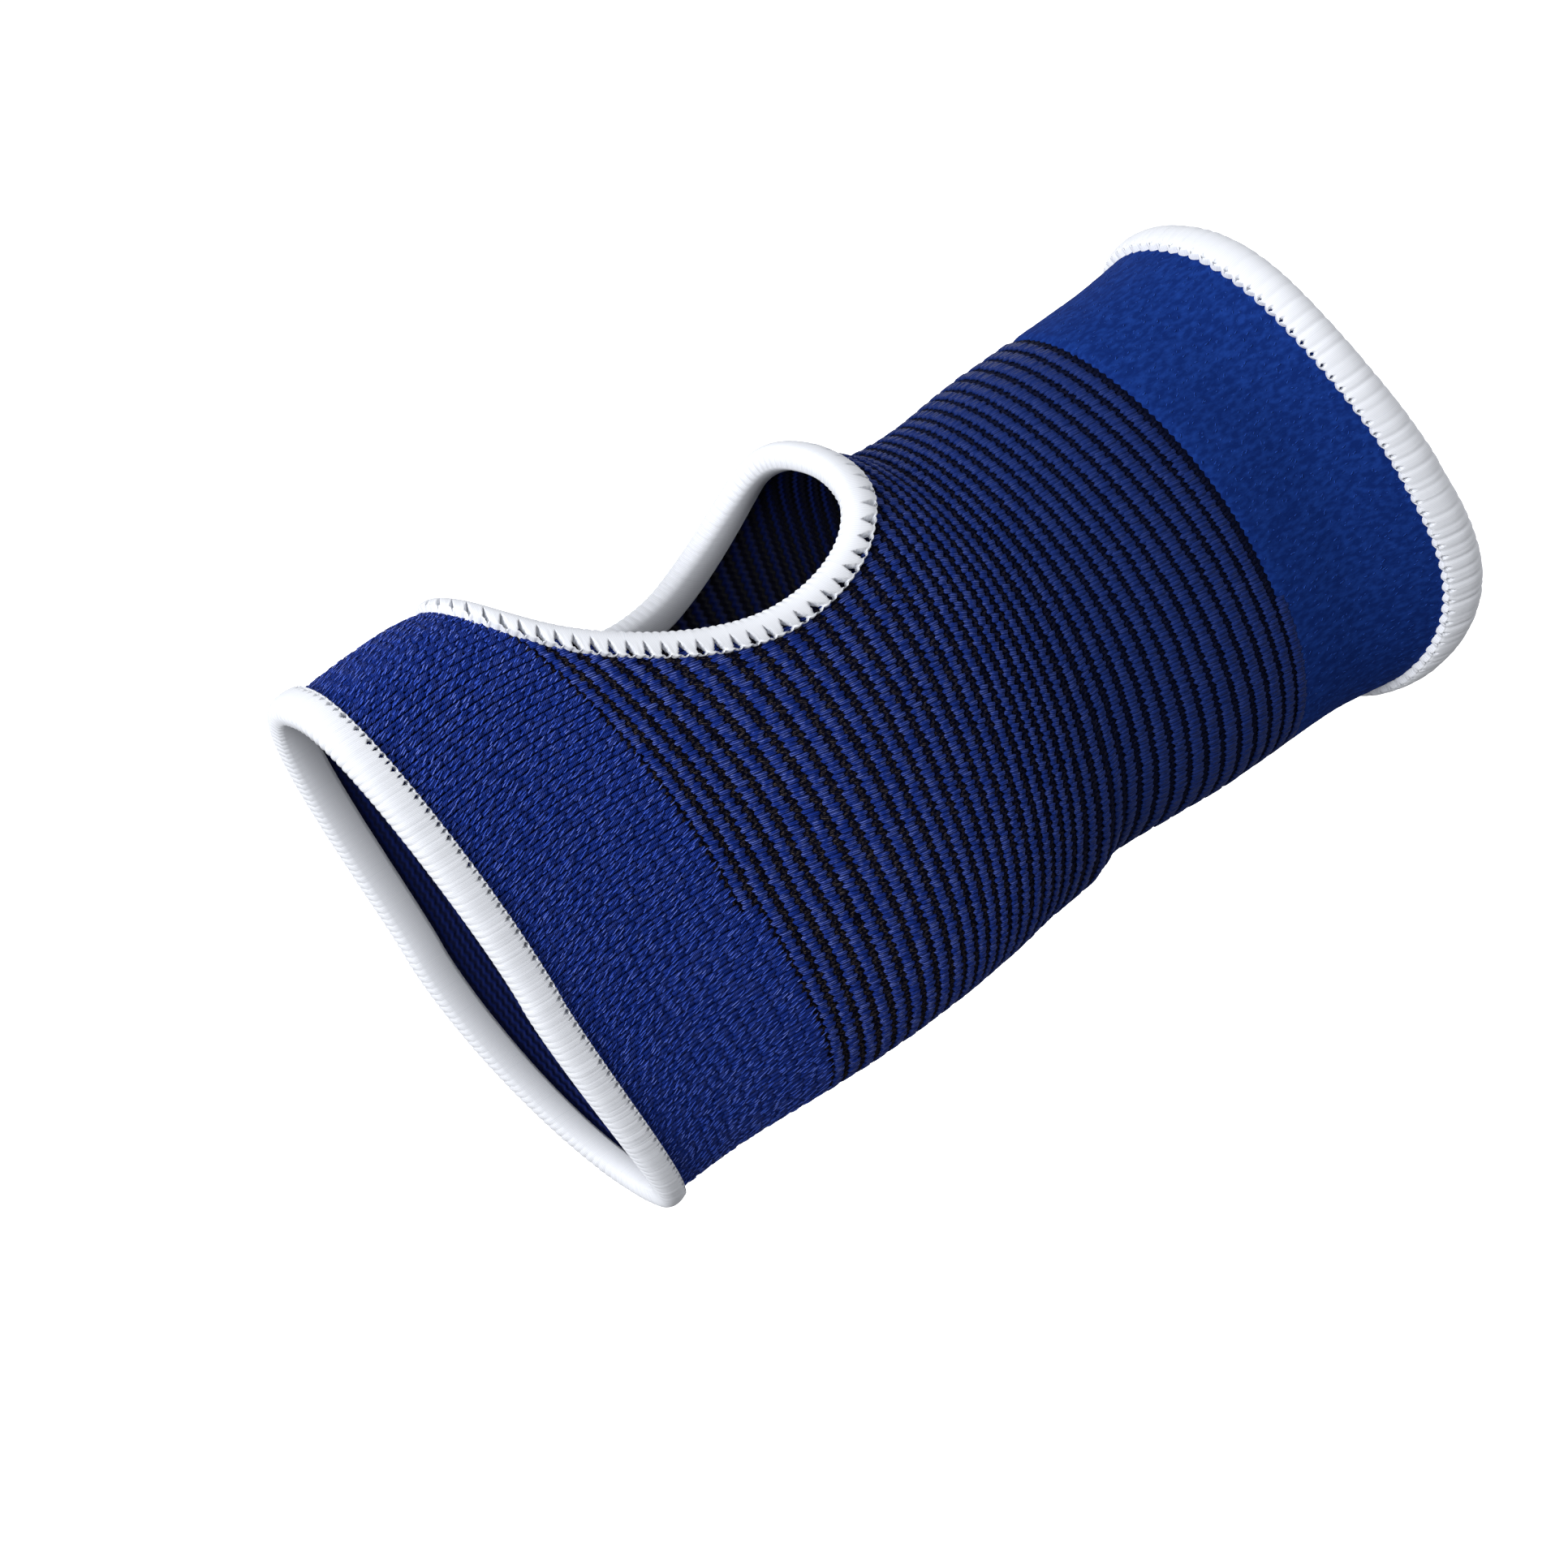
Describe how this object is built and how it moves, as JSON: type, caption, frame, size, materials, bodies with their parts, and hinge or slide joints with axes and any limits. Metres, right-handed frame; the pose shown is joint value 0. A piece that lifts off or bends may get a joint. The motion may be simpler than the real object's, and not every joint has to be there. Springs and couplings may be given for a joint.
{
  "type": "knitted wrist and thumb support sleeve",
  "caption": "Elastic knitted pull-on sleeve that supports the palm, wrist and lower forearm, with a thumb hole, ribbed middle and white overlocked edges.",
  "frame": {"origin": "centre of the wrist that the sleeve sits on, in its narrowest part", "axes": "+X up the forearm, -X towards the fingers, +Z the thumb side, -Y the palm side"},
  "size_m": [0.1572, 0.0544, 0.0881],
  "materials": {
    "blue_knit": "royal blue elastic knit with dark courses",
    "white_yarn": "white overlock thread"
  },
  "bodies": {
    "root": {"knit_sleeve": "blue_knit", "hand_edge": "white_yarn", "forearm_edge": "white_yarn", "thumb_edge": "white_yarn"}
  },
  "joints": []
}
